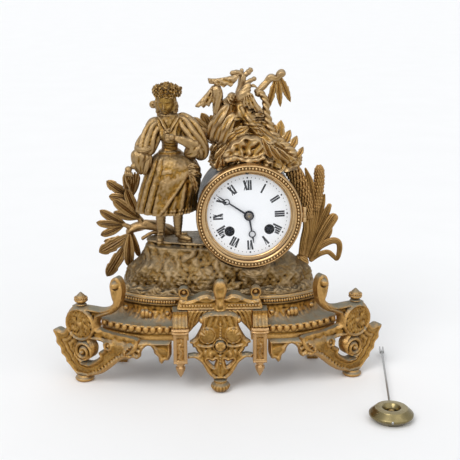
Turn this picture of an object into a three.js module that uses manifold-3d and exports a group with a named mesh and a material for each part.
// A gilt figural table clock: a scrolled base, a rock mound with a standing figure,
// a drum with a striking movement, and its pendulum laid beside it.
// Millimetres, +X right, +Y back, +Z up. The origin is the middle of the front foot's sole.
import * as THREE from "three";
import { mergeVertices } from "three/addons/utils/BufferGeometryUtils.js";
import Module from "manifold-3d";

const wasm = await Module();
wasm.setup();

// Clearances
const GAP = 0.3; // between castings that touch
const RUNNING = 0.1; // radial play of a pivot in its hole

// Facets round large, middling and small turned pieces
const ROUND = 26;
const MIDDLING = 16;
const SMALL = 8;

// Feet and apron
const FOOT_HEIGHT = 13; // turned knob under the apron
const FOOT_RADIUS = 9.4;
const SIDE_FOOT_X = 140; // side foot, from the middle
const SIDE_FOOT_Y = 35;
const SIDE_FOOT_RADIUS = 10;
const SIDE_FOOT_HEIGHT = 4.5;
const SCROLL_TURN = 30; // degrees that each scroll foot turns back
const SCROLL_THICKNESS = 9;
const MEDALLION_RADIUS = 18;
const MEDALLION_HEIGHT = 62.5; // centre above the table
const VOLUTE_RADIUS = 12;
const FINIAL_HEIGHT = 14;
const FINIAL_RADIUS = 7;
const REAR_FOOT_X = 104;
const REAR_FOOT_SIZE = 15;
const APRON_THICKNESS = 7;
const PILASTER_X = 40; // middle of each pilaster
const PILASTER_WIDTH = 17;
const PILASTER_DEPTH = 8;
const PILASTER_HEIGHT = 37;
const PILASTER_SPIKE = 15.5;

// Plinth
const PLINTH_UNDERSIDE = 52; // above the table
const FASCIA_HEIGHT = 16; // from the underside to the shelf
const COVE_HEIGHT = 18; // from the shelf to the rim
const RIM_HEIGHT = 9; // from the cove to the deck
const PLINTH_WALL = 5;
const PLINTH_BACK = 92;
const SWING_HALF = 26; // half width of the slot in the deck for the pendulum's swing
const SHELF_HALF = 122; // half width at the shelf
const SHELF_FRONT = 6;
const RIM_HALF = 100; // half width at the rim
const RIM_FRONT = 18;
const SHELF_SWEEP = 29; // how far the wings fall back at their ends
const RIM_SWEEP = 22;
const CORNICE_HALF = 41; // breakfront in the middle
const CORNICE_FRONT = 5;
const CORNICE_HEIGHT = 11;

// Mound
const MOUND_HEIGHT = 50; // deck to plateau
const MOUND_WALL = 5;
const MOUND_FRONT_WALL = 24; // thick enough to take the bezel's clearance
const MOUND_ROOF = 8;

// Drum and bezel
const DRUM_X = 30;
const DRUM_RISE = 81; // drum centre above the deck
const DRUM_RADIUS = 50;
const DRUM_WALL = 2;
const BELL_ROOM = 18; // pendulum's plane to the drum's back edge
const DIAL_Y = 30; // plane of the dial's edge
const DIAL_MARGIN = 7; // drum to dial, taken up by the ring
const DIAL_RADIUS = DRUM_RADIUS - DIAL_MARGIN;
const DIAL_THICKNESS = 1.6;
const DIAL_TILT = 2.6; // degrees that the movement is turned in its case
const RING_LAP = 1.1; // ring over the dial's edge
const RING_OPENING = DIAL_RADIUS - RING_LAP;
const RING_DEPTH = 7.2;
const BEZEL_OVERHANG = 3; // bezel outside the drum
const BEZEL_RADIUS = DRUM_RADIUS + BEZEL_OVERHANG;
const BEZEL_DEPTH = 10.2;
const BEZEL_WIDTH = 7.6;
const BEZEL_OPENING = BEZEL_RADIUS - BEZEL_WIDTH;
const GLASS_LAP = 1.2; // glass behind the bezel's lip
const GLASS_RADIUS = BEZEL_OPENING + GLASS_LAP;
const GLASS_THICKNESS = 1.4;
const HINGE_RADIUS = 2.2; // knuckle
const HINGE_PIN = 1;
const HINGE_KNUCKLE = 5; // length of each knuckle
const DOOR_MARGIN = 4; // back door inside the drum, and its lap on the ring
const BACK_DOOR_RADIUS = DRUM_RADIUS - DOOR_MARGIN;
const BACK_RING_OPENING = BACK_DOOR_RADIUS - DOOR_MARGIN;
const BACK_DOOR_THICKNESS = 1.5;

// Movement
const PLATE_MARGIN = 3.7; // drum to the movement's plates
const PLATE_RADIUS = DRUM_RADIUS - PLATE_MARGIN;
const PLATE_THICKNESS = 2;
const PLATE_SPACING = 32.5;
const PILLAR_RADIUS = 3;
const WINDING_X = 0.4 * DRUM_RADIUS;
const WINDING_Z = -0.31 * DRUM_RADIUS;
const WINDING_HOLE = 5.2;
const WINDING_ARBOR = 2.3;
const WINDING_SQUARE = 3.2;
const BARREL_RADIUS = 0.31 * DRUM_RADIUS;
const BARREL_LENGTH = 14;
const ARBOR_RADIUS = 0.9; // train arbors
const CANNON_RADIUS = 1.5;
const HOUR_PIPE_RADIUS = 2.4;
const MOTION_CENTRES = 12; // cannon pinion to minute wheel
const CANNON_TEETH = 6;
const MINUTE_WHEEL_TEETH = 18;
const MINUTE_PINION_TEETH = 6;
const HOUR_WHEEL_TEETH = 24;
const MINUTE_HAND_LENGTH = 38.7;
const HOUR_HAND_LENGTH = 29;
const MINUTE_HAND_ANGLE = 306; // degrees clockwise from twelve
const HOUR_HAND_ANGLE = 172.5;
const HAND_THICKNESS = 0.6;
const REGULATOR_Z = DIAL_RADIUS + 1.4; // in the middle of the ring
const ANCHOR_Z = REGULATOR_Z - 11.4; // leaves room for the suspension cock
const ESCAPE_Z = ANCHOR_Z - 13;
const ESCAPE_RADIUS = 8;
const ESCAPE_TEETH = 15;
const BELL_X = -0.32 * DRUM_RADIUS;
const BELL_Z = -0.12 * DRUM_RADIUS;
const BELL_RADIUS = 0.52 * DRUM_RADIUS;
const BELL_DEPTH = 15;
const BELL_WALL = 1.8;
const HAMMER_X = 26;
const HAMMER_Z = -24;

// Figure, measured from the plateau under it
const FIGURE_X = -50;
const FIGURE_Y = 52;
const HEM_HEIGHT = 31;
const SKIRT_WALL = 3;
const SKIRT_HOLLOW = 20;
const NECK_HEIGHT = 131.5;
const WREATH_RADIUS = 12.4; // middle of the ring of blossoms
const WREATH_TUBE = 2.7;
const WREATH_OVAL = 1.08; // depth to width
const WREATH_HEIGHT = 12;

// Pendulum, laid on the table
const PENDULUM_X = 160;
const PENDULUM_Y = -73.3;
const PENDULUM_TURN = -7.6; // degrees about the vertical
const PENDULUM_LENGTH = 166; // bob centre to the end of the fork
const BOB_RADIUS = 21.2;
const BOB_THICKNESS = 13;
const ROD_RADIUS = 1.1;
const NUT_RADIUS = 3.8;
const NUT_LENGTH = 4;

// Levels and places that follow from those sizes
const SHELF_Z = PLINTH_UNDERSIDE + FASCIA_HEIGHT;
const DECK_Z = SHELF_Z + COVE_HEIGHT + RIM_HEIGHT;
const PLATEAU_Z = DECK_Z + GAP + MOUND_HEIGHT;
const DRUM_Z = DECK_Z + DRUM_RISE;
const CREST_Z = DRUM_Z + DRUM_RADIUS;
const DRUM_START = 1; // drum's front edge behind the dial plane
const FRONT_PLATE_Y = RING_DEPTH + GAP;
const BACK_PLATE_Y = FRONT_PLATE_Y + PLATE_THICKNESS + PLATE_SPACING;
const PENDULUM_PLANE = BACK_PLATE_Y + PLATE_THICKNESS + 6;
const DRUM_END = PENDULUM_PLANE + BELL_ROOM;

const GILT = { color: 0x9a7434, metalness: 0.85, roughness: 0.45 };
const GREY_METAL = { color: 0x55534e, metalness: 0.7, roughness: 0.55 };
const BRASS = { color: 0xb09152, metalness: 0.9, roughness: 0.35 };
const STEEL = { color: 0x8d8f92, metalness: 0.9, roughness: 0.35 };
const BLUED = { color: 0x1c1f2b, metalness: 0.7, roughness: 0.35 };
const ENAMEL = { color: 0xeceef0, metalness: 0, roughness: 0.25 };
const CLEAR = { color: 0xffffff, metalness: 0, roughness: 0.05, transparent: true, opacity: 0.15 };

const radians = THREE.MathUtils.degToRad;
const mix = THREE.MathUtils.lerp;
const at = (x, y, z) => new THREE.Vector3(x, y, z);

// Geometry with its shared corners merged, empty triangles dropped and its faces pointing out.
function closed(geometry) {
  const bare = geometry.clone();
  bare.deleteAttribute("normal");
  bare.deleteAttribute("uv");
  const merged = mergeVertices(bare, 1e-4);
  const place = merged.getAttribute("position");
  const faces = [];
  let volume = 0;
  const [a, b, c] = [at(0, 0, 0), at(0, 0, 0), at(0, 0, 0)];
  for (let i = 0; i < merged.index.count; i += 3) {
    const [p, q, r] = [0, 1, 2].map((k) => merged.index.getX(i + k));
    if (p === q || q === r || r === p) continue;
    faces.push([p, q, r]);
    a.fromBufferAttribute(place, p);
    b.fromBufferAttribute(place, q);
    c.fromBufferAttribute(place, r);
    volume += a.dot(b.cross(c));
  }
  merged.setIndex(faces.flatMap(([p, q, r]) => (volume < 0 ? [p, r, q] : [p, q, r])));
  return merged;
}

function toSolid(geometry) {
  const skin = closed(geometry);
  return new wasm.Manifold(new wasm.Mesh({
    numProp: 3,
    vertProperties: skin.getAttribute("position").array,
    triVerts: Uint32Array.from(skin.index.array),
  }));
}

function toGeometry(solid) {
  const { vertProperties, triVerts } = solid.getMesh();
  const geometry = new THREE.BufferGeometry();
  geometry.setAttribute("position", new THREE.BufferAttribute(Float32Array.from(vertProperties), 3));
  geometry.setIndex(Array.from(triVerts));
  return geometry;
}

// Slivers that a cut or a join leaves along its seam are merged away within this distance.
const SEAM = 0.05;
const CAST_SEAM = 0.15;
const smoothed = (solid, seam) => toGeometry(solid.asOriginal().simplify(seam));
const joined = (pieces) => pieces.map(toSolid).reduce((whole, piece) => whole.add(piece));
const without = (piece, tools) =>
  tools.map(toSolid).reduce((whole, tool) => whole.subtract(tool), toSolid(piece));
const fuse = (...pieces) => smoothed(joined(pieces), SEAM);
const cut = (piece, ...tools) => smoothed(without(piece, tools), SEAM);

// A casting cut clear of its neighbours. Only its largest body is kept, so that no crumb stays.
function trim(piece, ...tools) {
  const bodies = without(piece, tools).decompose().sort((one, other) => other.volume() - one.volume());
  return smoothed(bodies[0], CAST_SEAM);
}

const moved = (geometry, x, y, z) => geometry.clone().translate(x, y, z);
const mirrored = (geometry) => closed(geometry.clone().scale(-1, 1, 1));

// A closed skin over rings of points, each ring with the same count, and fans over both ends.
function skin(rings) {
  const count = rings[0].length;
  const points = rings.flat();
  const faces = [];
  for (let i = 0; i + 1 < rings.length; i++) {
    for (let j = 0; j < count; j++) {
      const [low, next] = [i * count + j, i * count + ((j + 1) % count)];
      faces.push(low, next, next + count, low, next + count, low + count);
    }
  }
  for (const [ring, start] of [[rings[0], 0], [rings.at(-1), (rings.length - 1) * count]]) {
    const middle = ring.reduce((sum, p) => sum.add(p), at(0, 0, 0)).divideScalar(count);
    const hub = points.push(middle) - 1;
    for (let j = 0; j < count; j++) {
      const [here, next] = [start + j, start + ((j + 1) % count)];
      faces.push(...(start === 0 ? [hub, next, here] : [hub, here, next]));
    }
  }
  const geometry = new THREE.BufferGeometry().setFromPoints(points);
  geometry.setIndex(faces);
  return closed(geometry);
}

// A form stacked from levels of height, left, right, front and back.
// The wave changes the radius by angle and height.
function stacked(levels, count, grow = 0, wave = () => 1) {
  return skin(levels.map(([z, left, right, front, back], index) => {
    const lift = index === 0 ? -grow : index === levels.length - 1 ? grow : 0;
    return Array.from({ length: count }, (_, j) => {
      const angle = (j / count) * 2 * Math.PI;
      const reach = wave(angle, z);
      const x = (left + right) / 2 + ((right - left) / 2 * reach + grow) * Math.cos(angle);
      const y = (front + back) / 2 + ((back - front) / 2 * reach + grow) * Math.sin(angle);
      return at(x, y, z + lift);
    });
  }));
}

// A round limb along a curve through its stations of x, y, z and radius.
function limb(stations, sides = 6, steps = 2, grow = 0) {
  const curve = new THREE.CatmullRomCurve3(stations.map(([x, y, z]) => at(x, y, z)));
  const rings = (stations.length - 1) * steps;
  const frames = curve.computeFrenetFrames(rings);
  return skin(Array.from({ length: rings + 1 }, (_, i) => {
    const t = i / rings;
    const centre = curve.getPoint(t);
    const tangent = curve.getTangent(t);
    const lean = frames.normals[i].dot(tangent);
    const side = frames.normals[i].clone().addScaledVector(tangent, -lean).normalize();
    const other = tangent.clone().cross(side);
    const place = t * (stations.length - 1);
    const from = Math.min(Math.floor(place), stations.length - 2);
    const radius = mix(stations[from][3], stations[from + 1][3], place - from) + grow;
    return Array.from({ length: sides }, (_, j) => {
      const angle = (j / sides) * 2 * Math.PI;
      return centre.clone().addScaledVector(side, radius * Math.cos(angle))
        .addScaledVector(other, radius * Math.sin(angle));
    });
  }));
}

// A pointed leaf from base to tip, ridged along its middle; bow lifts its middle to the front.
const LEAF_FORM = [[0, 0.3], [0.35, 0.95], [0.7, 0.85], [1, 0]];
function leaf([x0, y0, z0], [x1, y1, z1], width, thickness = 2.4, bow = 2) {
  const base = at(x0, y0, z0);
  const along = at(x1, y1, z1).sub(base);
  const across = along.clone().cross(at(0, 1, 0)).normalize();
  const front = across.clone().cross(along).normalize();
  if (front.y > 0) front.negate();
  return skin(LEAF_FORM.map(([t, share]) => {
    const middle = base.clone().addScaledVector(along, t).addScaledVector(front, bow * Math.sin(Math.PI * t));
    const [half, depth] = [(width / 2) * share, (thickness / 2) * Math.sqrt(share)];
    return [[half, 0], [0, depth], [-half, 0], [0, -depth]].map(([s, d]) =>
      middle.clone().addScaledVector(across, s).addScaledVector(front, d));
  }));
}

// A body turned about Z, or about Y, from a closed profile of radius and height.
const turnedY = (profile, sides) =>
  closed(new THREE.LatheGeometry(profile.map(([r, y]) => new THREE.Vector2(r, y)), sides));
const turnedZ = (profile, sides) => closed(turnedY(profile, sides).rotateX(Math.PI / 2));
// Radius of a many-sided running bore whose flats clear a shaft at every angle.
const bore = (shaft) => (shaft + RUNNING) / Math.cos(Math.PI / SMALL);
const rodY = (radius, from, to, sides = SMALL) =>
  turnedY([[0, from], [radius, from], [radius, to], [0, to]], sides);
const tubeY = (inner, outer, from, to, sides) =>
  turnedY([[inner, from], [outer, from], [outer, to], [inner, to], [inner, from]], sides);
function block(x0, x1, y0, y1, z0, z1) {
  const box = new THREE.BoxGeometry(x1 - x0, y1 - y0, z1 - z0);
  return closed(box.translate((x0 + x1) / 2, (y0 + y1) / 2, (z0 + z1) / 2));
}

// A plate standing in the XZ plane from y = front to front + depth.
function plate(outline, front, depth, holes = [], segments = 4) {
  const corners = (points) => new THREE.Shape(points.map(([x, z]) => new THREE.Vector2(x, z)));
  const shape = outline instanceof THREE.Shape ? outline : corners(outline);
  shape.holes.push(...holes);
  const geometry = new THREE.ExtrudeGeometry(shape, { depth, bevelEnabled: false, curveSegments: segments });
  return closed(geometry.rotateX(Math.PI / 2).translate(0, front + depth, 0));
}

const spline = (path, points) => path.splineThru(points.map(([x, z]) => new THREE.Vector2(x, z)));

const clock = new THREE.Group();
const drum = new THREE.Group();
drum.position.set(DRUM_X, DIAL_Y, DRUM_Z);
const movement = new THREE.Group();
movement.rotation.y = -radians(DIAL_TILT);
const pendulum = new THREE.Group();
pendulum.position.set(PENDULUM_X, PENDULUM_Y, 0);
pendulum.rotation.z = radians(PENDULUM_TURN);
drum.add(movement);
clock.add(drum, pendulum);

function piece(name, geometry, finish, group = clock) {
  const mesh = new THREE.Mesh(closed(geometry), new THREE.MeshStandardMaterial(finish));
  mesh.name = name;
  group.add(mesh);
}

// Plinth: a hollow casting swept from the shelf's bowed plan to the rim's.
function plinthRing(spread, z, inset = 0) {
  const half = mix(RIM_HALF, SHELF_HALF, spread) - inset;
  const front = mix(RIM_FRONT, SHELF_FRONT, spread) + inset;
  const sweep = mix(RIM_SWEEP, SHELF_SWEEP, spread);
  const flat = half / 2;
  const steps = 10;
  const points = Array.from({ length: steps + 1 }, (_, i) => {
    const x = half * ((2 * i) / steps - 1);
    const past = Math.max(0, Math.abs(x) - flat) / (half - flat);
    return at(x, front + sweep * past * past, z);
  });
  return [...points, at(half, PLINTH_BACK - inset, z), at(-half, PLINTH_BACK - inset, z)];
}

function plinth() {
  const rimZ = DECK_Z - RIM_HEIGHT;
  const cove = [30, 60, 90].map((turn) => {
    const angle = radians(turn);
    return plinthRing(1 - Math.sin(angle), SHELF_Z + COVE_HEIGHT * (1 - Math.cos(angle)));
  });
  const outside = skin([
    plinthRing(0.93, PLINTH_UNDERSIDE), plinthRing(0.93, SHELF_Z - 8), plinthRing(1.02, SHELF_Z - 5.5),
    plinthRing(1, SHELF_Z - 2), plinthRing(0.97, SHELF_Z), ...cove,
    plinthRing(0.06, rimZ + 1.5), plinthRing(0.06, rimZ + 5), plinthRing(-0.03, DECK_Z),
  ]);
  const inside = skin([
    plinthRing(0.93, PLINTH_UNDERSIDE - 1, PLINTH_WALL), plinthRing(0.9, SHELF_Z - PLINTH_WALL, PLINTH_WALL),
    plinthRing(0.3, SHELF_Z + 1, PLINTH_WALL), plinthRing(0, DECK_Z - PLINTH_WALL, PLINTH_WALL),
  ]);
  const corniceZ = DECK_Z - CORNICE_HEIGHT;
  const cornice = plate([
    [-CORNICE_HALF, corniceZ], [CORNICE_HALF, corniceZ], [CORNICE_HALF + 1.5, DECK_Z - 3],
    [CORNICE_HALF, DECK_Z], [-CORNICE_HALF, DECK_Z], [-CORNICE_HALF - 1.5, DECK_Z - 3],
  ], CORNICE_FRONT, RIM_FRONT - CORNICE_FRONT + PLINTH_WALL);
  const keystone = new THREE.Shape().moveTo(0, corniceZ - 1);
  const keySide = [[5.5, corniceZ + 4], [4, DECK_Z], [6.5, DECK_Z + 10], [4.5, DECK_Z + 19]];
  spline(keystone, [...keySide, [0, DECK_Z + 22]]);
  spline(keystone, [...keySide.map(([x, z]) => [-x, z]).reverse(), [0, corniceZ - 1]]);
  const consoles = [-1, 1].flatMap((side) => {
    const [inner, outer] = [PILASTER_X - PILASTER_WIDTH / 2 + 1, PILASTER_X + PILASTER_WIDTH / 2 - 1];
    const profile = new THREE.Shape().moveTo(RIM_FRONT + 2, SHELF_Z);
    profile.lineTo(SHELF_FRONT - PILASTER_DEPTH, SHELF_Z);
    spline(profile, [[SHELF_FRONT - 5, SHELF_Z + 5], [SHELF_FRONT - 1, SHELF_Z + 10],
      [CORNICE_FRONT - 2, corniceZ]]);
    profile.lineTo(RIM_FRONT + 2, corniceZ + 2);
    const sweep = { depth: outer - inner, bevelEnabled: false, curveSegments: 2 };
    const console = new THREE.ExtrudeGeometry(profile, sweep);
    console.applyMatrix4(new THREE.Matrix4().set(0, 0, 1, inner, 1, 0, 0, 0, 0, 1, 0, 0, 0, 0, 0, 1));
    const hook = rodY(6, CORNICE_FRONT + 2, RIM_FRONT + 1, 10).translate(CORNICE_HALF - 5, 0, DECK_Z + 3);
    return side > 0 ? [console, hook] : [mirrored(console), mirrored(hook)];
  });
  const mouth = PILASTER_X - PILASTER_WIDTH / 2;
  return cut(
    fuse(outside, cornice, plate(keystone, CORNICE_FRONT - 3, 7), ...consoles),
    inside,
    block(-mouth, mouth, 0, RIM_FRONT + 1, PLINTH_UNDERSIDE - 1, SHELF_Z + 6),
    block(DRUM_X - SWING_HALF, DRUM_X + SWING_HALF, PLINTH_BACK - 32, PLINTH_BACK - PLINTH_WALL,
      DECK_Z - 2 * PLINTH_WALL, DECK_Z + 1),
  );
}
piece("plinth", plinth(), GILT);

// Scroll feet: a pierced plate turned back at each corner, with an inner leaf along the front.
function scrollFoot() {
  const outline = new THREE.Shape().moveTo(-8, SIDE_FOOT_HEIGHT);
  spline(outline, [[-17, 13.5], [-24, 24], [-30, 34.6], [-34, 49.5], [-24, 50], [-18, 56]]);
  spline(outline, [[-12, 76], [-9, 80], [10, 82], [24, 82.5], [33, 85.5], [40.5, 94], [36, 98],
    [34, 108], [37.5, 116.5], [43.5, 119.2], [49.5, 116], [52, 106], [46, 88], [31, 76.5], [21, 71],
    [19, PLINTH_UNDERSIDE - GAP]]);
  outline.lineTo(66, PLINTH_UNDERSIDE - GAP);
  outline.lineTo(66, 37);
  spline(outline, [[52, 34], [47, 31], [38, 24], [25, 13], [11.5, 6.7], [8, SIDE_FOOT_HEIGHT]]);
  outline.lineTo(-8, SIDE_FOOT_HEIGHT);
  const crescent = new THREE.Path().moveTo(10.5, 47);
  spline(crescent, [[15.5, 39], [12.5, 28.5], [0, 22]]);
  spline(crescent, [[9, 21.5], [21, 30], [23, 36.4], [28.5, 42], [25, 46.5], [10.5, 47]]);
  const half = SCROLL_THICKNESS / 2;
  const side = plate(outline, -half, SCROLL_THICKNESS, [crescent], 2);
  const medallion = rodY(MEDALLION_RADIUS, -half - 2.5, half, MIDDLING).translate(0, 0, MEDALLION_HEIGHT);
  const volute = rodY(VOLUTE_RADIUS, -half - 2, half, 12).translate(2, 0, 33);
  const padTop = SIDE_FOOT_HEIGHT + 2;
  const pad = turnedZ([[0, 0], [SIDE_FOOT_RADIUS - 2, 0], [SIDE_FOOT_RADIUS, 2],
    [SIDE_FOOT_RADIUS - 3, padTop], [0, padTop]], 10);
  const turned = fuse(side, medallion, volute, pad)
    .rotateZ(-radians(SCROLL_TURN)).translate(-SIDE_FOOT_X, SIDE_FOOT_Y, 0);
  const inner = -PILASTER_X - PILASTER_WIDTH / 2 - GAP;
  const arch = new THREE.Shape().moveTo(-98, PLINTH_UNDERSIDE - GAP);
  arch.lineTo(-98, 36);
  spline(arch, [[-88, 35], [-80, 37], [-77, 45.5], [-70, 47.5], [-66, 39.5], [-59, 28.5], [-52, 32.7],
    [inner, 39]]);
  arch.lineTo(inner, PLINTH_UNDERSIDE - GAP);
  return fuse(turned, plate(arch, SHELF_FRONT - 4, SCROLL_THICKNESS, [], 2));
}
const leftScroll = scrollFoot();
piece("left_scroll_foot", leftScroll, GILT);
piece("right_scroll_foot", mirrored(leftScroll), GILT);

// Finials: turned buds that stand on the scroll feet.
const finial = turnedZ([[0, 0], [5.5, 0], [FINIAL_RADIUS, 2.5], [5.5, 4.5], [FINIAL_RADIUS - 1, 7],
  [3.5, FINIAL_HEIGHT - 3], [1.2, FINIAL_HEIGHT], [0, FINIAL_HEIGHT]], SMALL);
const FINIAL_Z = 82;
for (const [name, side] of [["left_finial", -1], ["right_finial", 1]]) {
  piece(name, moved(finial, side * (SIDE_FOOT_X + 1), SIDE_FOOT_Y, FINIAL_Z + GAP), GILT);
}

// Rear feet: plain tapered blocks behind the scroll feet.
function rearFoot() {
  const half = REAR_FOOT_SIZE / 2;
  const square = (size, z) => [[-1, -1], [1, -1], [1, 1], [-1, 1]].map(([x, y]) => at(x * size, y * size, z));
  const top = PLINTH_UNDERSIDE - GAP;
  return skin([square(half - 2, 0), square(half - 1, 3), square(half - 3, 6), square(half, top)]);
}
for (const [name, side] of [["left_rear_foot", -1], ["right_rear_foot", 1]]) {
  piece(name, rearFoot().translate(side * REAR_FOOT_X, PLINTH_BACK - REAR_FOOT_SIZE / 2, 0), GILT);
}

// Pilasters: tapered blocks with a spike below, in front of the fascia.
function pilaster() {
  const half = PILASTER_WIDTH / 2;
  const top = SHELF_Z - GAP;
  const foot = top - PILASTER_HEIGHT;
  const back = SHELF_FRONT - 1 - GAP;
  const edge = [[half - 1.5, foot], [half - 1.5, top - 6], [half, top - 5], [half, top]];
  const outline = [...edge, ...edge.map(([x, z]) => [-x, z]).reverse()];
  const shaft = plate(outline, back - PILASTER_DEPTH, PILASTER_DEPTH);
  const tip = foot - PILASTER_SPIKE;
  const spike = turnedZ([[0, tip], [1, tip], [3.8, foot - 7], [2.6, foot - 3], [3.8, foot], [0, foot + 1]],
    SMALL);
  return fuse(shaft, spike.translate(0, back - PILASTER_DEPTH / 2, 0));
}
for (const [name, side] of [["left_pilaster", -1], ["right_pilaster", 1]]) {
  piece(name, pilaster().translate(side * PILASTER_X, 0, 0), GILT);
}

// Apron: a pierced shield under the cornice, with arms to the pilasters, on the front foot.
function apron() {
  const top = DECK_Z - CORNICE_HEIGHT - 1 - GAP;
  const bottom = FOOT_HEIGHT + GAP;
  const arm = PILASTER_X - PILASTER_WIDTH / 2 + 1.5 - GAP;
  const half = [[8, top - 0.5], [17.5, top - 4], [20, 69], [25, 58], [30.5, 53], [25, 45], [21.5, 40.8]];
  const under = [[22.5, 34.5], [18, 30.5], [10.5, 16.5], [6.8, bottom]];
  const outline = new THREE.Shape().moveTo(0, top);
  spline(outline, half);
  outline.lineTo(arm, 40);
  outline.lineTo(arm, 35.5);
  spline(outline, under);
  outline.lineTo(-6.8, bottom);
  spline(outline, under.map(([x, z]) => [-x, z]).reverse().slice(1));
  outline.lineTo(-arm, 35.5);
  outline.lineTo(-arm, 40);
  outline.lineTo(-21.5, 40.8);
  spline(outline, half.map(([x, z]) => [-x, z]).reverse().slice(1));
  outline.lineTo(0, top);
  const face = -APRON_THICKNESS / 2;
  const eyes = [-1, 1].map((side) =>
    plate([[side * 6, 27], [side * 12, 34], [side * 4.5, 34]], face - 1, APRON_THICKNESS + 2));
  const bosses = [[-13, 61, 6], [13, 61, 6], [0, 50, 6.5]].map(([x, z, r]) =>
    closed(new THREE.SphereGeometry(r, 7, 4)).scale(1, 0.6, 1).translate(x, face, z));
  return cut(fuse(plate(outline, face, APRON_THICKNESS, [], 2), ...bosses), ...eyes);
}
piece("centre_apron", apron(), GILT);
piece("front_foot", turnedZ([[0, 0], [5.5, 0], [FOOT_RADIUS, 4], [FOOT_RADIUS, 7], [7, 10.5],
  [5.5, FOOT_HEIGHT], [0, FOOT_HEIGHT]], 14), GILT);

// Mound: a hollow rock casting that cradles the drum.
const MOUND_LEVELS = [
  [0, -97, 100, 20, 90], [0.22, -96, 97, 21, 89], [0.4, -92, 92, 23, 88],
  [0.62, -83, 76, 27, 87], [0.82, -77, 66, 31, 86], [1, -73, 60, 35, 85],
];
const rocky = (angle, z) => 1 + 0.014 * Math.sin(5 * angle + z / 9) + 0.01 * Math.sin(9 * angle - z / 6);
const moundLevels = (inset, frontInset, from, to) => MOUND_LEVELS.map(([share, left, right, front, back]) =>
  [DECK_Z + GAP + mix(from, to, share), left + inset, right - inset, front + frontInset, back - inset]);
const moundForm = (grow) => stacked(moundLevels(0, 0, 0, MOUND_HEIGHT), 24, grow, rocky);
const moundHollow = stacked(moundLevels(MOUND_WALL, MOUND_FRONT_WALL, -1, MOUND_HEIGHT - MOUND_ROOF), 14);
const atDrum = (geometry) => moved(geometry, DRUM_X, DIAL_Y, DRUM_Z);
const drumForm = (grow) => atDrum(rodY(DRUM_RADIUS + grow, DRUM_START - grow, DRUM_END + grow, ROUND));
const bezelSweep = atDrum(rodY(BEZEL_RADIUS + 1, -60, DRUM_START, ROUND));
const swingSlot = block(DRUM_X - SWING_HALF + 2, DRUM_X + SWING_HALF - 2, PLINTH_BACK - 22, PLINTH_BACK + 9,
  DECK_Z - 1, DRUM_Z);
piece("rock_mound", trim(moundForm(0), moundHollow, drumForm(GAP), bezelSweep, swingSlot), GILT);

// Figure: body, head, wreath, arms and legs, soldered together and standing on the plateau.
const BODY_LEVELS = [
  [HEM_HEIGHT, -33, 27, -23, 23], [36, -32.5, 27.5, -24, 23], [46, -30, 28.5, -24, 23], [60, -26.5, 31.5, -23, 22],
  [75, -21, 31.5, -21, 20], [85, -17, 26, -17, 17], [91, -11, 15.5, -11.5, 12], [95, -6.3, 10.4, -9, 8.5],
  [99, -6, 10.2, -10, 8.5], [105, -7, 11.5, -13, 9], [112, -10, 14.5, -12.5, 9.5],
  [119, -13, 17.5, -10.5, 10], [125, -12.5, 17.5, -9, 9.5], [129, -8, 12, -7, 8],
  [NECK_HEIGHT, -4.8, 4, -5.5, 5],
];
const figureLevels = (levels, inset = 0) => levels.map(([z, left, right, front, back]) => [
  PLATEAU_Z + z, FIGURE_X + left + inset, FIGURE_X + right - inset,
  FIGURE_Y + front + inset, FIGURE_Y + back - inset,
]);
const PLEATS = 9;
const pleats = (angle, z) => 1 + 0.045 * Math.max(0, 1 - (z - PLATEAU_Z) / 90) * Math.cos(PLEATS * angle);
const bodyForm = (grow) => stacked(figureLevels(BODY_LEVELS), 2 * PLEATS, grow, pleats);
const hollowLevels = BODY_LEVELS.slice(0, 3).map(([z, ...sides], index) =>
  [[HEM_HEIGHT - 1, HEM_HEIGHT + 6, HEM_HEIGHT + SKIRT_HOLLOW][index], ...sides]);
const skirtHollow = stacked(figureLevels(hollowLevels, SKIRT_WALL + 1.5), 12);
piece("figure_body", trim(bodyForm(0), skirtHollow, drumForm(GAP)), GILT);

const headLevels = [
  [0, -4.8, 4, -8.5, 5], [1.2, -5.4, 4.8, -10.2, 5.5], [4, -6.8, 6.2, -11.2, 7], [8, -8, 7.4, -11.4, 8.5],
  [14, -8.6, 8, -11, 9.3], [19, -8.8, 8.2, -10.3, 9.8], [23, -6.8, 6.2, -7.8, 7.8], [25, -2, 1.6, -2.5, 2.5],
].map(([z, ...sides]) => [NECK_HEIGHT + GAP + z, ...sides]);
const headForm = stacked(figureLevels(headLevels), 12);
const bun = limb([[-7, 6, 8.5, 4.5], [-12, 5, 7.5, 4.2], [-15, 5, 6.5, 3]].map(([x, y, z, r]) =>
  [FIGURE_X + x, FIGURE_Y + y, PLATEAU_Z + NECK_HEIGHT + z, r]));
piece("figure_head", trim(fuse(headForm, bun), bodyForm(GAP)), GILT);

// The wreath is a ring of blossoms that stands clear of the head all round.
function wreath() {
  const [around, sides, blossoms] = [18, 5, 9];
  const points = [];
  const faces = [];
  for (let i = 0; i < around; i++) {
    const turn = (i / around) * 2 * Math.PI;
    const swell = 1 + 0.14 * Math.cos(blossoms * turn);
    for (let j = 0; j < sides; j++) {
      const angle = (j / sides) * 2 * Math.PI;
      const reach = WREATH_RADIUS + WREATH_TUBE * swell * Math.cos(angle);
      const rise = (WREATH_HEIGHT / 2) * swell * Math.sin(angle);
      points.push(at(reach * Math.cos(turn), reach * Math.sin(turn) * WREATH_OVAL, rise));
      const [next, ahead] = [(j + 1) % sides, ((i + 1) % around) * sides];
      faces.push(i * sides + j, ahead + j, ahead + next, i * sides + j, ahead + next, i * sides + next);
    }
  }
  const geometry = new THREE.BufferGeometry().setFromPoints(points);
  geometry.setIndex(faces);
  return closed(geometry).translate(FIGURE_X - 0.3, FIGURE_Y - 0.8, PLATEAU_Z + NECK_HEIGHT + 22.5);
}
piece("flower_wreath", wreath(), GILT);

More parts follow.
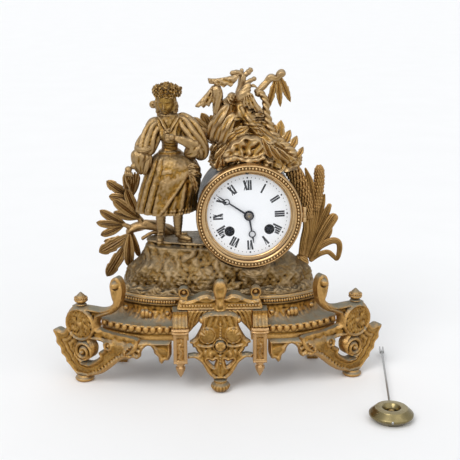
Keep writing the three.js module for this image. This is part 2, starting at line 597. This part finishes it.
// Crest: a rock with a stump and buds on the drum, a vine to its right, and two birds.
const CREST_LEVELS = [
  [-8, -34, 53, 33, 90], [0, -38, 53, 33, 91], [10, -39, 46, 34, 90], [18, -36, 40, 36, 88],
  [32, -29, 28, 40, 84], [44, -28, 20, 43, 80], [54, -27, 10, 46, 76], [60, -25, 3, 48, 72],
  [68, -16, -6, 52, 66],
];
const onCrest = ([x, y, z, ...rest]) => [DRUM_X + x, y, CREST_Z + z, ...rest];
const crestLimb = (stations, sides = 6, steps = 1, grow = 0) =>
  limb(stations.map(onCrest), sides, steps, grow);
const crestLeaf = (base, tip, width, thickness = 2.6) => leaf(onCrest(base), onCrest(tip), width, thickness);
const crestLevels = CREST_LEVELS.map(([z, left, right, front, back]) =>
  [CREST_Z + z, DRUM_X + left, DRUM_X + right, front, back]);
const craggy = (angle, z) => 1 + 0.03 * Math.sin(5 * angle + z / 7) + 0.025 * Math.sin(9 * angle - z / 5);
const STUMP = [[-8, 58, 44, 5], [-9, 58, 62, 4], [-6, 58, 76, 3.6], [-4, 58, 88, 2.6]];
const crestForm = (grow) => fuse(stacked(crestLevels, 16, grow, craggy), crestLimb(STUMP, 6, 1, grow));
const crestBuds = (grow) => [
  crestLimb([[-4, 58, 86, 2], [-10, 57, 89, 2.8], [-16, 57, 88.5, 1.5]], 5, 1, grow),
  crestLimb([[-7, 58, 88, 1.6], [-6, 58, 91, 2.2], [-5, 58, 93.5, 1]], 5, 1, grow),
  crestLimb([[-5, 58, 85, 2], [1, 58, 89, 3], [5, 58, 94, 1.6]], 5, 1, grow),
  crestLimb([[-6, 58, 77, 2], [4, 57, 81, 2.6], [10, 57, 84, 1.6]], 5, 1, grow),
  crestLeaf([-32, 72, 16], [-56, 74, 42], 13, 2.6 + grow),
  crestLeaf([-33, 76, 20], [-45, 77, 46], 11, 2.6 + grow),
];
piece("crest_rock", trim(fuse(crestForm(0), ...crestBuds(0)), drumForm(GAP)), GILT);

const vine = fuse(
  crestLimb([[7, 57, 67, 3], [13, 56, 68, 3.4], [18, 55, 61, 3.4], [19, 54, 49, 3.8], [23, 52, 33, 4.2],
    [31, 50, 21, 4.6], [40, 47, 11, 5], [50, 45, 1, 4]]),
  crestLimb([[7, 57, 67, 3], [15, 59, 76, 3], [23, 60, 83, 3.6], [30, 60, 85, 3.4], [37, 60, 90, 3.6]]),
  crestLeaf([27, 60, 84], [21, 60, 52], 8),
  crestLeaf([30, 60, 85], [43, 61, 58], 9),
  crestLeaf([33, 51, 18], [34, 54, 40], 11),
  crestLeaf([39, 50, 12], [43, 55, 29], 9),
  crestLeaf([45, 47, 6], [49, 54, 22], 8),
  crestLeaf([48, 46, 2], [58, 52, 11], 6),
);
piece("crest_vine", trim(vine, crestForm(GAP), drumForm(GAP)), GILT);

const onCrestPlate = (outline, front, depth) =>
  plate(outline.map(([x, z]) => [DRUM_X + x, CREST_Z + z]), front, depth);
const divingBird = fuse(
  crestLimb([[-31, 55, 28, 4], [-32, 55, 42, 3.6], [-30, 55, 58, 5], [-30, 55, 70, 4.5], [-31, 55, 79, 3]]),
  onCrestPlate([[-40, 79], [-34, 77], [-26, 75], [-16, 76], [-11, 82], [-7.5, 88.5], [-12, 87], [-22, 83.5],
    [-40, 82.8]], 53.5, 2.8),
  onCrestPlate([[-26, 77], [-35, 76], [-48, 58.5], [-47, 56.5], [-38, 57.5], [-35, 60], [-27, 70]], 54, 2.8),
);
piece("diving_bird", trim(divingBird, crestForm(GAP), ...crestBuds(2 * GAP)), GILT);
const perchedBird = fuse(
  crestLimb([[-10, 50, 59, 2], [-7, 49.5, 65, 5], [-2, 49.5, 72, 4.6], [1, 49.5, 77, 3.4]]),
  crestLimb([[0, 49.5, 77, 2.6], [4, 49.5, 77.5, 2], [8.5, 49.5, 75, 0.5]], 5),
  onCrestPlate([[-3, 71], [-6, 62], [-3, 55], [8, 50], [15, 50.5], [9, 58], [4, 67]], 45.5, 3.2),
);
piece("perched_bird", trim(perchedBird, crestForm(GAP), ...crestBuds(2 * GAP)), GILT);

// Arms and legs, with each radius; the right sleeve hangs from its elbow.
const onFigure = ([x, y, z, r]) => [FIGURE_X + x, FIGURE_Y + y, PLATEAU_Z + z, r];
const figureLimb = (stations, sides = 6, steps = 2) => limb(stations.map(onFigure), sides, steps);
const leftArm = fuse(
  figureLimb([[-9, 1, 122, 6], [-14, 0, 116, 7], [-18.5, -1.5, 106.5, 7.4], [-22.5, -3, 98, 8.6],
    [-25.5, -5, 90, 9.2], [-28, -6, 81, 5.5]]),
  figureLimb([[-24, -4, 88, 5], [-25, -6, 77, 5], [-25.5, -6.5, 70, 2.4]], 6, 1),
  figureLimb([[-28, -6, 82, 4], [-33, -7, 79, 3.6], [-38.5, -8, 75.5, 4.2], [-41, -9, 71.5, 2.2]], 6, 1),
);
const rightArm = fuse(
  figureLimb([[11, 1, 124.5, 6.2], [20, -0.5, 118.5, 8], [27, -3, 109.5, 8.5], [31, -6, 99, 8], [33, -7, 90, 7],
    [29, -8, 83, 4]]),
  figureLimb([[30, -9, 99, 5], [20, -13, 104, 4.5], [11, -15, 107, 3.8], [4, -16, 109, 3.4], [0, -15.5, 110.5, 2]],
    6, 1),
  figureLimb([[31, -8, 96, 6], [25, -9, 91, 6], [20.5, -9, 87, 3]], 6, 1),
);
piece("left_arm", trim(leftArm, bodyForm(GAP)), GILT);
piece("right_arm", trim(rightArm, bodyForm(GAP), crestForm(GAP), ...crestBuds(2 * GAP)), GILT);

function leg(x, toeX, toeY) {
  const knee = HEM_HEIGHT + SKIRT_HOLLOW - GAP;
  return trim(fuse(
    figureLimb([[x, -2, knee, 5.4], [x, -2, HEM_HEIGHT, 4.9], [x, -1, 17, 4.7], [x, -1, 9, 3.3],
      [x, 0, 1, 3.6]], 8, 1),
    figureLimb([[x, 2, 2.2, 3.2], [mix(x, toeX, 0.4), mix(0, toeY, 0.4), 3.4, 4], [toeX, toeY, 1.4, 2.2]]),
  ), moundForm(GAP));
}
piece("left_leg", leg(-7.5, -9, -13), GILT);
piece("right_leg", leg(10, 23, -8), GILT);

// Leaf branch: a bough from the plateau behind the figure, with three sprays of leaves.
const branchLimb = (stations, sides = 5, steps = 1) => limb(stations.map(onFigure), sides, steps);
const branchLeaf = ([x0, z0], [x1, z1], width, y = 22) =>
  leaf(onFigure([x0, y, z0]).slice(0, 3), onFigure([x1, y - 2, z1]).slice(0, 3), width);
const branch = fuse(
  branchLimb([[6, 25, -3, 6], [-4, 25, 4, 6], [-18, 25, 9, 5.6], [-30, 24, 9, 5], [-40, 23, 5, 4],
    [-44, 22, -1, 3]], 6),
  branchLimb([[-26, 24, 9, 3], [-33, 23, 20, 2.6], [-39, 22, 35, 2.2], [-45, 22, 48, 1.4]]),
  branchLimb([[-38, 23, 6, 3], [-48, 22, 11, 2.2], [-55, 22, 13, 1.4]]),
  branchLimb([[-43, 22, 0, 2.8], [-46, 22, -10, 2.4], [-53, 21, -24, 1.4]]),
  branchLeaf([-44, 43], [-63, 58], 11), branchLeaf([-42, 39], [-62, 42], 10, 21),
  branchLeaf([-47, 12], [-72, 26], 11), branchLeaf([-48, 11], [-76, 14], 9, 21),
  branchLeaf([-48, 11], [-72, 1], 9),
  branchLeaf([-43, 0], [-74, -17], 14, 20), branchLeaf([-47, -13], [-67, -45], 14),
  branchLeaf([-42, 1], [-42, -34], 11, 19), branchLeaf([-40, 3], [-31, -24], 8, 24),
  branchLeaf([-33, 20], [-42, 47], 11, 20),
  branchLeaf([-41, 40], [-46, 66], 10), branchLeaf([-40, 38], [-31, 63], 9, 24),
);
piece("leaf_branch", trim(branch, moundForm(GAP), bodyForm(GAP)), GILT);

// Reed spray: ears, a reed head and blades from one root on the mound's right shoulder.
const reedLimb = (stations, sides = 5, steps = 2) =>
  limb(stations.map(([x, y, z, r]) => [DRUM_X + x, y, DRUM_Z + z, r]), sides, steps);
const reedLeaf = ([x0, y0, z0], [x1, y1, z1], width) =>
  leaf([DRUM_X + x0, y0, DRUM_Z + z0], [DRUM_X + x1, y1, DRUM_Z + z1], width, 2.6);
const reeds = fuse(
  reedLimb([[55, 62, -68, 5], [58, 62, -50, 8], [61, 62, -30, 5]]),
  reedLimb([[58, 61, -52, 3], [61, 60, -12, 4.2], [59, 60, 13, 6.4], [53, 60, 32, 7], [46, 60, 44, 6]]),
  reedLimb([[60, 64, -52, 3], [68, 66, -14, 4], [73.5, 66, 16, 5.4], [74, 66, 34, 5], [73, 66, 40, 2]]),
  reedLimb([[60, 64, -56, 3], [80, 65, -42, 3.4], [92, 65, -37, 3], [98, 65, -42, 3], [96.5, 65, -55, 2.8],
    [93, 65, -60, 2.6], [82, 65, -52.5, 2.8], [66, 64, -57, 3]], 4, 1),
  reedLeaf([62, 63, -30], [61, 64, 41], 8), reedLeaf([60, 66, -52], [86, 68, 3], 10),
  reedLeaf([61, 63, -52], [94, 65, -9], 12), reedLeaf([61, 67, -54], [89, 69, -24], 10),
  reedLeaf([57, 58, -48], [56, 58, -9], 9),
);
piece("reed_spray", trim(reeds, moundForm(GAP), drumForm(GAP), crestForm(GAP)), GILT);

// Drum case: a tube with a pendulum slot below and two hinge knuckles on each rim.
const HINGE_X = BEZEL_RADIUS + HINGE_RADIUS + GAP;
const BACK_HINGE_X = BACK_DOOR_RADIUS + HINGE_RADIUS + GAP;
const BACK_RING_Y = DRUM_END + GAP;
const BACK_RING_DEPTH = 2.5;
const BACK_DOOR_Y = BACK_RING_Y + BACK_RING_DEPTH + GAP;
const knuckleBore = bore(HINGE_PIN);
// A knuckle on a pin parallel to Z at (x, y), joined to its plate by a web from webX.
function knuckle(x, y, z0, z1, webX, webY0, webY1) {
  const roll = turnedZ([[0, z0], [HINGE_RADIUS, z0], [HINGE_RADIUS, z1], [0, z1]], SMALL);
  return fuse(roll.translate(x, y, 0), block(webX, x, webY0, webY1, z0, z1));
}
const hingeBore = (x, y) =>
  turnedZ([[0, -20], [knuckleBore, -20], [knuckleBore, 20], [0, 20]], SMALL).translate(x, y, 0);
const outerKnuckles = (x, y, webX, webY0, webY1) => [-1, 1].map((side) => {
  const middle = side * (HINGE_KNUCKLE + GAP);
  return knuckle(x, y, middle - HINGE_KNUCKLE / 2, middle + HINGE_KNUCKLE / 2, webX, webY0, webY1);
});
const innerKnuckle = (x, y, webX, webY0, webY1) =>
  knuckle(x, y, -HINGE_KNUCKLE / 2, HINGE_KNUCKLE / 2, webX, webY0, webY1);
const hingePin = (x, y) => {
  const reach = HINGE_KNUCKLE * 1.5 + GAP;
  return turnedZ([[0, -reach], [HINGE_PIN, -reach], [HINGE_PIN, reach], [0, reach]], 8).translate(x, y, 0);
};
const DRUM_BORE = DRUM_RADIUS - DRUM_WALL;
const SPIGOT = DRUM_BORE * Math.cos(Math.PI / ROUND) - GAP; // clears the bore's flats at any turn
piece("drum_case", cut(
  fuse(tubeY(DRUM_BORE, DRUM_RADIUS, DRUM_START, DRUM_END, ROUND),
    ...outerKnuckles(HINGE_X, DRUM_START, DRUM_RADIUS - 1, DRUM_START, DRUM_START + HINGE_RADIUS)),
  hingeBore(HINGE_X, DRUM_START),
  block(-12, 12, PENDULUM_PLANE - 8, PENDULUM_PLANE + 8, -DRUM_RADIUS - 2, 0),
), GREY_METAL, drum);
piece("bezel_hinge_pin", hingePin(HINGE_X, DRUM_START), STEEL, drum);

// Bezel: a beaded ring that holds the glass in a rebate behind its lip.
const BEZEL_BACK = DRUM_START - GAP;
const LIP_BACK = 2.8 - BEZEL_DEPTH;
const REBATE = GLASS_RADIUS + GAP;
const bezelRing = turnedY([
  [BEZEL_OPENING, 1.4 - BEZEL_DEPTH], [BEZEL_OPENING + 2, -BEZEL_DEPTH],
  [BEZEL_RADIUS - 3, 0.8 - BEZEL_DEPTH], [BEZEL_RADIUS, 5.7 - BEZEL_DEPTH],
  [BEZEL_RADIUS, BEZEL_BACK], [REBATE, BEZEL_BACK], [REBATE, LIP_BACK], [BEZEL_OPENING, LIP_BACK],
  [BEZEL_OPENING, 1.4 - BEZEL_DEPTH],
], ROUND);
piece("bezel", cut(
  fuse(bezelRing, innerKnuckle(HINGE_X, DRUM_START, BEZEL_RADIUS - 2, BEZEL_BACK - HINGE_RADIUS, BEZEL_BACK)),
  hingeBore(HINGE_X, DRUM_START),
), BRASS, drum);
const GLASS_FRONT = LIP_BACK + GAP;
piece("bezel_glass", rodY(GLASS_RADIUS, GLASS_FRONT, GLASS_FRONT + GLASS_THICKNESS, ROUND), CLEAR, drum);

// Back ring and back door, hinged on the right.
const BACK_RING_FACE = BACK_RING_Y + BACK_RING_DEPTH;
const BACK_PIN_Y = BACK_DOOR_Y + HINGE_RADIUS;
const backRing = turnedY([
  [BACK_RING_OPENING, BACK_RING_Y], [DRUM_BORE - 2, BACK_RING_Y], [DRUM_BORE - 2, BACK_RING_Y - 4],
  [SPIGOT, BACK_RING_Y - 4], [SPIGOT, BACK_RING_Y], [DRUM_RADIUS, BACK_RING_Y],
  [DRUM_RADIUS, BACK_RING_FACE], [BACK_RING_OPENING, BACK_RING_FACE], [BACK_RING_OPENING, BACK_RING_Y],
], MIDDLING);
const ringKnuckles = outerKnuckles(BACK_HINGE_X, BACK_PIN_Y, BACK_HINGE_X - HINGE_RADIUS, BACK_RING_Y + 0.5,
  BACK_PIN_Y);
piece("back_ring", cut(fuse(backRing, ...ringKnuckles), hingeBore(BACK_HINGE_X, BACK_PIN_Y)), BRASS, drum);
piece("back_door_pin", hingePin(BACK_HINGE_X, BACK_PIN_Y), STEEL, drum);
const DOOR_FACE = BACK_DOOR_Y + BACK_DOOR_THICKNESS;
const doorDisc = turnedY([[0, BACK_DOOR_Y], [BACK_DOOR_RADIUS, BACK_DOOR_Y], [BACK_DOOR_RADIUS, DOOR_FACE],
  [BACK_DOOR_RADIUS - 6, DOOR_FACE + 1.5], [0, DOOR_FACE + 2]], MIDDLING);
const doorKnob = turnedY([[0, 0], [3, 0], [2, 3], [3.6, 5], [2.6, 7], [0, 7]], SMALL)
  .translate(-BACK_DOOR_RADIUS + 7, DOOR_FACE - 0.2, 0);
const doorKnuckle = innerKnuckle(BACK_HINGE_X, BACK_PIN_Y, BACK_DOOR_RADIUS - 2, BACK_DOOR_Y, BACK_PIN_Y);
const door = fuse(doorDisc, doorKnob, doorKnuckle);
piece("back_door", cut(door, hingeBore(BACK_HINGE_X, BACK_PIN_Y)), BRASS, drum);

// Dial ring and dial: the ring screws to the drum, the dial's feet stand on the front plate.
const hole = (x, z, radius, sides = SMALL) => rodY(radius, -20, 90, sides).translate(x, 0, z);
const pivot = (x, z, shaft) => hole(x, z, bore(shaft));
const DIAL_SEAT = DIAL_RADIUS + GAP;
const dialRing = turnedY([
  [RING_OPENING, -0.4], [RING_OPENING + 1.1, -1.8], [GLASS_RADIUS, -1.6], [GLASS_RADIUS, DRUM_START + GAP],
  [SPIGOT, DRUM_START + GAP], [SPIGOT, RING_DEPTH], [DIAL_SEAT, RING_DEPTH],
  [DIAL_SEAT, -0.1], [RING_OPENING, -0.4],
], ROUND);
piece("dial_ring", cut(dialRing, pivot(0, REGULATOR_Z, ARBOR_RADIUS)), BRASS, movement);
const DIAL_EDGE = GAP - 0.1;
const dialBack = DIAL_EDGE + DIAL_THICKNESS;
const dialDisc = turnedY([[0, -0.9], [DIAL_RADIUS * 0.5, -0.6], [DIAL_RADIUS, DIAL_EDGE],
  [DIAL_RADIUS, dialBack], [0, dialBack]], ROUND);
const dialFeet = [[0, 30], [-26, 15], [26, 15]].map(([x, z]) =>
  rodY(1.2, dialBack - 0.5, FRONT_PLATE_Y - GAP, 6).translate(x, 0, z));
piece("dial", cut(
  fuse(dialDisc, ...dialFeet),
  hole(0, 0, HOUR_PIPE_RADIUS + 0.6),
  ...[-1, 1].map((side) => hole(side * WINDING_X, WINDING_Z, WINDING_HOLE, 10)),
), ENAMEL, movement);

// Motion work: thin straight-sided teeth, which mesh with backlash at every angle.
function gear(teeth, pitchRadius, from, width, phase = 0) {
  const module = (2 * pitchRadius) / teeth;
  const [root, tip] = [pitchRadius - 1.2 * module, pitchRadius + 0.6 * module];
  const shape = new THREE.Shape();
  for (let i = 0; i < teeth; i++) {
    for (const [share, radius] of [[-0.11, tip], [0.11, tip], [0.5, root]]) {
      const angle = phase + ((i + share) * 2 * Math.PI) / teeth;
      const [x, z] = [radius * Math.cos(angle), radius * Math.sin(angle)];
      if (i === 0 && share < 0) shape.moveTo(x, z);
      else shape.lineTo(x, z);
    }
  }
  return plate(shape, from, width);
}
const MOTION_ANGLE = radians(45); // direction from the centre to the minute wheel
const MINUTE_X = MOTION_CENTRES * Math.cos(MOTION_ANGLE);
const MINUTE_Z = MOTION_CENTRES * Math.sin(MOTION_ANGLE);
const pitch = (own, other) => (MOTION_CENTRES * own) / (own + other);
const halfTooth = (teeth) => Math.PI / teeth;
const MINUTE_HAND_Y = -3.8;
const HOUR_HAND_Y = -2.3;
const HOUR_WHEEL_Y = dialBack + 0.7;
const MINUTE_WHEEL_Y = FRONT_PLATE_Y - 1.9;
const WHEEL_WIDTH = 0.9;
const cannonPitch = pitch(CANNON_TEETH, MINUTE_WHEEL_TEETH);
const cannonTeeth = gear(CANNON_TEETH, cannonPitch, MINUTE_WHEEL_Y - 0.2, WHEEL_WIDTH + 0.4, MOTION_ANGLE);
const cannonPipe = rodY(CANNON_RADIUS, MINUTE_HAND_Y - 0.4, FRONT_PLATE_Y - GAP);
piece("cannon_pinion", cut(fuse(cannonTeeth, cannonPipe), pivot(0, 0, ARBOR_RADIUS)), STEEL, movement);
const minuteTeeth = gear(MINUTE_WHEEL_TEETH, MOTION_CENTRES - cannonPitch, MINUTE_WHEEL_Y, WHEEL_WIDTH,
  MOTION_ANGLE + Math.PI + halfTooth(MINUTE_WHEEL_TEETH));
const pinionPitch = pitch(MINUTE_PINION_TEETH, HOUR_WHEEL_TEETH);
const minutePinion = gear(MINUTE_PINION_TEETH, pinionPitch, HOUR_WHEEL_Y - 0.2,
  MINUTE_WHEEL_Y - HOUR_WHEEL_Y + 0.5, MOTION_ANGLE + Math.PI);
piece("minute_wheel", cut(fuse(minuteTeeth, minutePinion), pivot(0, 0, ARBOR_RADIUS))
  .translate(MINUTE_X, 0, MINUTE_Z), BRASS, movement);
const hourTeeth = gear(HOUR_WHEEL_TEETH, MOTION_CENTRES - pinionPitch, HOUR_WHEEL_Y, WHEEL_WIDTH,
  MOTION_ANGLE + halfTooth(HOUR_WHEEL_TEETH));
const hourPipe = rodY(HOUR_PIPE_RADIUS, HOUR_HAND_Y - 0.3, HOUR_WHEEL_Y + 0.4);
piece("hour_wheel", cut(fuse(hourTeeth, hourPipe), pivot(0, 0, CANNON_RADIUS)), BRASS, movement);

// Hands: a pointer with a pierced ring near its tip; the minute hand carries its riveted brass collet.
function hand(length, boss, ringAt, ringRadius, y, shaft, angle) {
  const [near, far] = [ringAt - ringRadius, ringAt + ringRadius];
  const half = [[0.9, 0], [0.7, near], [1, far], [0.15, length]];
  const pointer = plate([...half, ...half.map(([x, z]) => [-x, z]).reverse()], y, HAND_THICKNESS);
  const ring = rodY(ringRadius, y, y + HAND_THICKNESS, 10).translate(0, 0, ringAt);
  const eye = hole(0, ringAt, ringRadius - 1.1);
  return cut(fuse(pointer, rodY(boss, y, y + HAND_THICKNESS, 10), ring), eye, pivot(0, 0, shaft))
    .rotateY(radians(angle));
}
piece("hour_hand", hand(HOUR_HAND_LENGTH, 5.1, 19.4, 3.6, HOUR_HAND_Y, HOUR_PIPE_RADIUS, HOUR_HAND_ANGLE),
  BLUED, movement);
const minuteHand = hand(MINUTE_HAND_LENGTH, 3.6, 26.6, 3.1, MINUTE_HAND_Y, CANNON_RADIUS, MINUTE_HAND_ANGLE);
const collet = turnedY([[0, MINUTE_HAND_Y - 0.9], [2.4, MINUTE_HAND_Y - 0.9], [3.4, MINUTE_HAND_Y + 0.2],
  [0, MINUTE_HAND_Y + 0.2]], SMALL);
piece("minute_hand", fuse(minuteHand, cut(collet, pivot(0, 0, CANNON_RADIUS))), BLUED, movement);

// Movement plates, with the pivot holes they need and the studs they carry.
const stud = (x, z, radius, from, to) => rodY(radius, from, to).translate(x, 0, z);
const WINDING = [[-WINDING_X, WINDING_Z], [WINDING_X, WINDING_Z]];
const REAR_PIVOT = 1.5;
piece("front_plate", cut(
  fuse(rodY(PLATE_RADIUS, FRONT_PLATE_Y, FRONT_PLATE_Y + PLATE_THICKNESS, MIDDLING),
    stud(MINUTE_X, MINUTE_Z, ARBOR_RADIUS, HOUR_WHEEL_Y - 0.4, FRONT_PLATE_Y + 1)),
  pivot(0, 0, ARBOR_RADIUS), pivot(0, REGULATOR_Z, ARBOR_RADIUS),
  ...WINDING.map(([x, z]) => pivot(x, z, WINDING_ARBOR)),
), BRASS, movement);
const HAMMER_Y = PENDULUM_PLANE + 5.5; // the bell stands clear behind the pendulum
piece("back_plate", cut(
  fuse(rodY(PLATE_RADIUS, BACK_PLATE_Y, BACK_PLATE_Y + PLATE_THICKNESS, MIDDLING),
    stud(HAMMER_X, HAMMER_Z, ARBOR_RADIUS, BACK_PLATE_Y + 1, HAMMER_Y + 5)),
  pivot(0, 0, ARBOR_RADIUS), pivot(0, ANCHOR_Z, ARBOR_RADIUS), pivot(0, REGULATOR_Z, ARBOR_RADIUS),
  ...WINDING.map(([x, z]) => pivot(x, z, REAR_PIVOT)),
), BRASS, movement);
// Pillars at these shares of the plates' radius
[[-0.8, 0.3], [0.8, 0.3], [-0.325, -0.865], [0.325, -0.865]].forEach(([x, z], index) => {
  const [from, to] = [FRONT_PLATE_Y + PLATE_THICKNESS + GAP, BACK_PLATE_Y - GAP];
  const waist = PILLAR_RADIUS - 0.8;
  const pillar = turnedY([[0, from], [PILLAR_RADIUS, from], [waist, from + 4], [waist, to - 4],
    [PILLAR_RADIUS, to], [0, to]], 6);
  piece(`plate_pillar_${index + 1}`, pillar.translate(x * PLATE_RADIUS, 0, z * PLATE_RADIUS), BRASS, movement);
});

// Barrels with their great wheels, and the winding arbors through them with ratchets.
const BARREL_Y = FRONT_PLATE_Y + PLATE_THICKNESS + 2.5;
const BARREL_END = BARREL_Y + BARREL_LENGTH;
const GREAT_WHEEL_RADIUS = 1.19 * BARREL_RADIUS;
const GREAT_WHEEL_TEETH = 18;
const RATCHET_TEETH = 8;
const CENTRE_WHEEL_TEETH = 14;
WINDING.forEach(([x, z], index) => {
  const name = ["strike", "going"][index];
  const box = rodY(BARREL_RADIUS, BARREL_Y, BARREL_END, MIDDLING);
  const wheel = gear(GREAT_WHEEL_TEETH, GREAT_WHEEL_RADIUS, BARREL_END - 1, 2);
  const barrel = cut(fuse(box, wheel), pivot(0, 0, WINDING_ARBOR));
  piece(`${name}_barrel`, barrel.translate(x, 0, z), BRASS, movement);
  const half = WINDING_SQUARE / 2;
  const arbor = fuse(
    rodY(WINDING_ARBOR, dialBack + 1, BACK_PLATE_Y - GAP),
    block(-half, half, 0.6, dialBack + 2, -half, half),
    rodY(REAR_PIVOT, BACK_PLATE_Y - 1, BACK_PLATE_Y + PLATE_THICKNESS),
    gear(RATCHET_TEETH, 5, FRONT_PLATE_Y - GAP - 1.2, 1.2),
  );
  piece(`${name}_winding_arbor`, arbor.translate(x, 0, z), STEEL, movement);
});

// Centre wheel and escape wheel on their arbors.
const CENTRE_WHEEL_Y = BARREL_Y + BARREL_LENGTH + 4;
piece("centre_wheel", fuse(
  gear(CENTRE_WHEEL_TEETH, 0.28 * DRUM_RADIUS, CENTRE_WHEEL_Y, 1.5),
  rodY(ARBOR_RADIUS, MINUTE_HAND_Y - 1, BACK_PLATE_Y + PLATE_THICKNESS),
  rodY(2.4, CENTRE_WHEEL_Y - 3, CENTRE_WHEEL_Y + 3),
), BRASS, movement);
const ESCAPE_Y = BACK_PLATE_Y - 4;
function escapeWheel() {
  const shape = new THREE.Shape();
  for (let i = 0; i < ESCAPE_TEETH; i++) {
    for (const [share, depth] of [[0, 0], [0.2, 1.8], [0.75, 2.1]]) {
      const radius = ESCAPE_RADIUS - depth;
      const angle = ((i + share) * 2 * Math.PI) / ESCAPE_TEETH;
      const [x, z] = [radius * Math.cos(angle), radius * Math.sin(angle)];
      if (i === 0 && share === 0) shape.moveTo(x, z);
      else shape.lineTo(x, z);
    }
  }
  const arbor = rodY(ARBOR_RADIUS, FRONT_PLATE_Y + PLATE_THICKNESS + GAP, BACK_PLATE_Y - GAP);
  return fuse(plate(shape, ESCAPE_Y, 1.2), arbor).translate(0, 0, ESCAPE_Z);
}
piece("escape_wheel", escapeWheel(), BRASS, movement);

// Anchor and crutch on one arbor, under the suspension cock.
const CRUTCH_Y = BACK_PLATE_Y + PLATE_THICKNESS + 2.5;
const PALLET_CLEAR = 1.4; // pallets stand clear of the tooth tips at every swing
function anchor() {
  const reach = ANCHOR_Z - ESCAPE_Z;
  const radius = ESCAPE_RADIUS + PALLET_CLEAR;
  const shape = new THREE.Shape().absarc(0, -reach, radius + 2.6, radians(35), radians(145), false);
  shape.absarc(0, -reach, radius, radians(145), radians(35), true);
  const hub = plate([[-1.8, -2.2], [1.8, -2.2], [1.8, 1.6], [-1.8, 1.6]], ESCAPE_Y, 1.2);
  return fuse(
    plate(shape, ESCAPE_Y, 1.2, [], 4), hub,
    rodY(ARBOR_RADIUS, FRONT_PLATE_Y + PLATE_THICKNESS + GAP, CRUTCH_Y + 1.4),
    block(-1.1, 1.1, CRUTCH_Y, CRUTCH_Y + 1.4, -38, 1.5),
    block(-2.6, 2.6, CRUTCH_Y, CRUTCH_Y + 6, -40, -37.5),
  ).translate(0, 0, ANCHOR_Z);
}
piece("anchor_crutch", anchor(), STEEL, movement);
const COCK_Y = BACK_PLATE_Y + PLATE_THICKNESS + GAP;
piece("suspension_cock", cut(fuse(
  block(-6, 6, COCK_Y, COCK_Y + 9, ANCHOR_Z + 3.5, REGULATOR_Z + 1.8),
  block(-2.2, 2.2, PENDULUM_PLANE - 0.2, PENDULUM_PLANE + 0.2, ANCHOR_Z - 9, ANCHOR_Z + 5),
  block(-3, 3, PENDULUM_PLANE - 1.2, PENDULUM_PLANE + 1.2, ANCHOR_Z - 12, ANCHOR_Z - 8),
), pivot(0, REGULATOR_Z, ARBOR_RADIUS)), BRASS, movement);
const regulator = rodY(ARBOR_RADIUS, -1.2, COCK_Y + 9);
piece("regulator_arbor", regulator.translate(0, 0, REGULATOR_Z), STEEL, movement);

// Bell on its post, and the hammer on its stud.
const BELL_FRONT = HAMMER_Y - 3;
const BELL_CROWN = BELL_FRONT + BELL_DEPTH;
const bellOuter = [[BELL_RADIUS, 0], [BELL_RADIUS - 2.5, 6], [BELL_RADIUS - 9, 12.5]];
const bellInner = bellOuter.map(([r, y]) => [r - BELL_WALL, Math.max(0, y - BELL_WALL * 0.7)]).reverse();
const POST_RADIUS = 2.2;
const bellBore = bore(POST_RADIUS);
piece("bell", turnedY([
  ...bellOuter, [bellBore, BELL_DEPTH], [bellBore, BELL_DEPTH - BELL_WALL], ...bellInner, bellOuter[0],
], MIDDLING).translate(BELL_X, BELL_FRONT, BELL_Z), BRASS, movement);
const SEAT_Y = BELL_CROWN - BELL_WALL - GAP;
piece("bell_post", turnedY([[0, COCK_Y], [4, COCK_Y], [4, COCK_Y + 2], [POST_RADIUS + 1, COCK_Y + 3],
  [POST_RADIUS + 1, SEAT_Y], [POST_RADIUS, SEAT_Y], [POST_RADIUS, BELL_CROWN + 1.5],
  [0, BELL_CROWN + 1.5]], SMALL).translate(BELL_X, 0, BELL_Z), STEEL, movement);
const HAMMER_HEAD = 7;
const headX = BELL_X + BELL_RADIUS + 1 - HAMMER_X; // face of the hammer head, from its stud
const headZ = BELL_Z - HAMMER_Z;
const tailX = headX + HAMMER_HEAD;
const hammerArm = plate([[-1.2, 0], [1.2, 0], [tailX + 0.6, headZ], [tailX - 1.8, headZ]], HAMMER_Y, 2);
const hammerHead = rodY(2.8, 0, HAMMER_HEAD).rotateZ(-Math.PI / 2).translate(headX, HAMMER_Y + 1, headZ);
const hammerHub = rodY(2.6, HAMMER_Y - 1, HAMMER_Y + 3.5);
piece("hammer", cut(fuse(hammerArm, hammerHead, hammerHub), pivot(0, 0, ARBOR_RADIUS))
  .translate(HAMMER_X, 0, HAMMER_Z), STEEL, movement);

// Pendulum: a lens bob on a rod with a fork, and a rating nut in the bob's window.
const ROD_Z = BOB_THICKNESS / 2;
const WINDOW = 9.6;
const FORK_LENGTH = 12;
const FORK_START = PENDULUM_LENGTH - FORK_LENGTH;
const lens = [[0, 0], [10, 0], [16, 2], [BOB_RADIUS, ROD_Z - 0.8]];
const bob = turnedZ([...lens, ...lens.map(([r, z]) => [r, BOB_THICKNESS - z]).reverse()], MIDDLING);
const channel = rodY(ROD_RADIUS + RUNNING * 2, -BOB_RADIUS - 2, BOB_RADIUS + 2).translate(0, 0, ROD_Z);
const window = block(-WINDOW / 2, WINDOW / 2, -WINDOW / 2, WINDOW / 2, -1, BOB_THICKNESS + 1);
piece("pendulum_bob", cut(bob, window, channel), BRASS, pendulum);
piece("pendulum_rod", cut(
  fuse(rodY(ROD_RADIUS, -BOB_RADIUS + 6, FORK_START).translate(0, 0, ROD_Z),
    block(-2.4, 2.4, FORK_START - 2, PENDULUM_LENGTH, ROD_Z - 1.2, ROD_Z + 1.2)),
  block(-1, 1, FORK_START + 3, PENDULUM_LENGTH + 1, ROD_Z - 3, ROD_Z + 3),
), STEEL, pendulum);
const nut = tubeY(bore(ROD_RADIUS), NUT_RADIUS, -NUT_LENGTH / 2, NUT_LENGTH / 2, 12);
piece("rating_nut", nut.translate(0, 0, ROD_Z), BRASS, pendulum);

export default clock;
